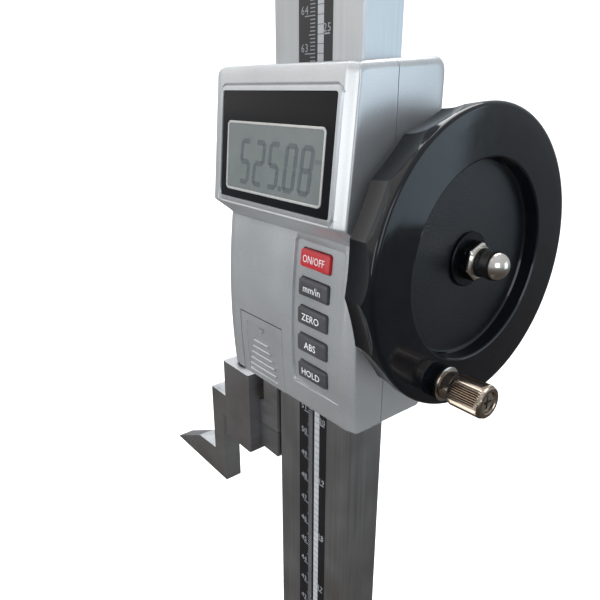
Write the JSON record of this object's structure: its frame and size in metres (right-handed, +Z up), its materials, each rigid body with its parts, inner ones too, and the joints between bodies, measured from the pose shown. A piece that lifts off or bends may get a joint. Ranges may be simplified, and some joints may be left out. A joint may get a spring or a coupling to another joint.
{
  "type": "digital height marking gauge",
  "caption": "Tall free-standing marking gauge: heavy base, steel column with a printed scale, display slider with keys, side handwheel, and a clamped scriber.",
  "frame": {"origin": "on the base's underside, below the centre of the column", "axes": "+Z up the column, +Y to the back, the scriber points along -X and the handwheel faces +X"},
  "size_m": [0.2175, 0.1059, 0.821],
  "materials": {
    "cast_base": "satin paint, lapped underneath",
    "ground_steel": "fine ground",
    "black_oxide": "blackened steel",
    "black_print": "satin print",
    "rack_steel": "milled",
    "dark_steel": "ground, oiled",
    "brass": "turned",
    "silver_casing": "silver paint",
    "gloss_black": "polished",
    "screen_frame": "bright",
    "lcd_grey": "clear front",
    "white_module": "moulded",
    "board_green": "solder mask",
    "black_moulding": "moulded",
    "grey_rubber": "moulded",
    "nickel": "bright nickel",
    "key_red": "moulded",
    "key_grey": "moulded",
    "tool_steel": "ground",
    "carbide": "lapped",
    "wheel_black": "moulded and polished"
  },
  "bodies": {
    "stand": {"base_casting": "cast_base", "column_beam": "ground_steel", "column_bolts": "black_oxide", "scale_strip": "black_print", "rack_strip": "rack_steel", "rack_screws": "black_oxide", "top_stop": "ground_steel", "top_stop_screws": "black_oxide"},
    "slider": {"slider_frame": "dark_steel", "gib_strip": "brass", "gib_screws": "black_oxide", "shaft_bush": "brass", "pinion_cover": "dark_steel", "pinion_cover_screws": "black_oxide", "lock_shoe": "brass", "front_casing": "silver_casing", "rear_casing": "silver_casing", "casing_screws": "black_oxide", "display_bezel": "gloss_black", "lcd_frame": "screen_frame", "lcd_glass": "lcd_grey", "lcd_module": "white_module", "circuit_board": "board_green", "reader_head": "black_moulding", "keypad_mat": "grey_rubber", "battery_cell": "nickel", "battery_contacts": "nickel", "scriber_clamp": "dark_steel", "jaw_screw": "brass"},
    "handwheel": {"handwheel": "wheel_black", "drive_pinion": "rack_steel", "pinion_shaft": "rack_steel", "hub_washer": "wheel_black", "hub_nut": "black_oxide", "dome_nut": "nickel", "crank_washer": "nickel", "crank_spindle": "nickel"},
    "crank": {"crank_knob": "nickel"},
    "scriber": {"scriber_arm": "tool_steel", "carbide_tip": "carbide"},
    "clamp_screw": {"clamp_screw": "black_oxide"},
    "lock_screw": {"lock_screw": "black_oxide"},
    "battery_door": {"battery_door": "silver_casing"},
    "key_power": {"key_power": "key_red"},
    "key_units": {"key_units": "key_grey"},
    "key_zero": {"key_zero": "key_grey"},
    "key_absolute": {"key_absolute": "key_grey"},
    "key_hold": {"key_hold": "key_grey"}
  },
  "joints": [
    {"name": "slider_travel", "type": "slide", "parent": "stand", "child": "slider", "axis": [0, 0, 1], "range_m": [-0.525, 0.095]},
    {"name": "handwheel_turn", "type": "hinge", "parent": "slider", "child": "handwheel", "pos_m": [0.045, 0.0113, 0.654], "axis": [1, 0, 0], "range_deg": [-5580, 1020]},
    {"name": "crank_spin", "type": "hinge", "parent": "handwheel", "child": "crank", "pos_m": [0.058, -0.0027, 0.62172], "axis": [1, 0, 0], "continuous": true},
    {"name": "scriber_slide", "type": "slide", "parent": "slider", "child": "scriber", "axis": [-1, 0, 0], "range_m": [0, 0.014]},
    {"name": "clamp_screw_turn", "type": "hinge", "parent": "slider", "child": "clamp_screw", "pos_m": [-0.043, -0.006, 0.5955], "axis": [0, 0, 1], "range_deg": [0, 540]},
    {"name": "lock_screw_turn", "type": "hinge", "parent": "slider", "child": "lock_screw", "pos_m": [0, 0.025, 0.624], "axis": [0, 1, 0], "range_deg": [-180, 0]},
    {"name": "battery_door_slide", "type": "slide", "parent": "slider", "child": "battery_door", "axis": [0, 0, -1], "range_m": [0, 0.024]},
    {"name": "key_power_press", "type": "slide", "parent": "slider", "child": "key_power", "axis": [0, 1, 0], "range_m": [0, 0.0006], "stiffness_N_per_m": 600},
    {"name": "key_units_press", "type": "slide", "parent": "slider", "child": "key_units", "axis": [0, 1, 0], "range_m": [0, 0.0006], "stiffness_N_per_m": 600},
    {"name": "key_zero_press", "type": "slide", "parent": "slider", "child": "key_zero", "axis": [0, 1, 0], "range_m": [0, 0.0006], "stiffness_N_per_m": 600},
    {"name": "key_absolute_press", "type": "slide", "parent": "slider", "child": "key_absolute", "axis": [0, 1, 0], "range_m": [0, 0.0006], "stiffness_N_per_m": 600},
    {"name": "key_hold_press", "type": "slide", "parent": "slider", "child": "key_hold", "axis": [0, 1, 0], "range_m": [0, 0.0006], "stiffness_N_per_m": 600}
  ],
  "couplings": [
    {"joint": "handwheel_turn", "follows": "slider_travel", "rad_per_m": 185.19}
  ]
}
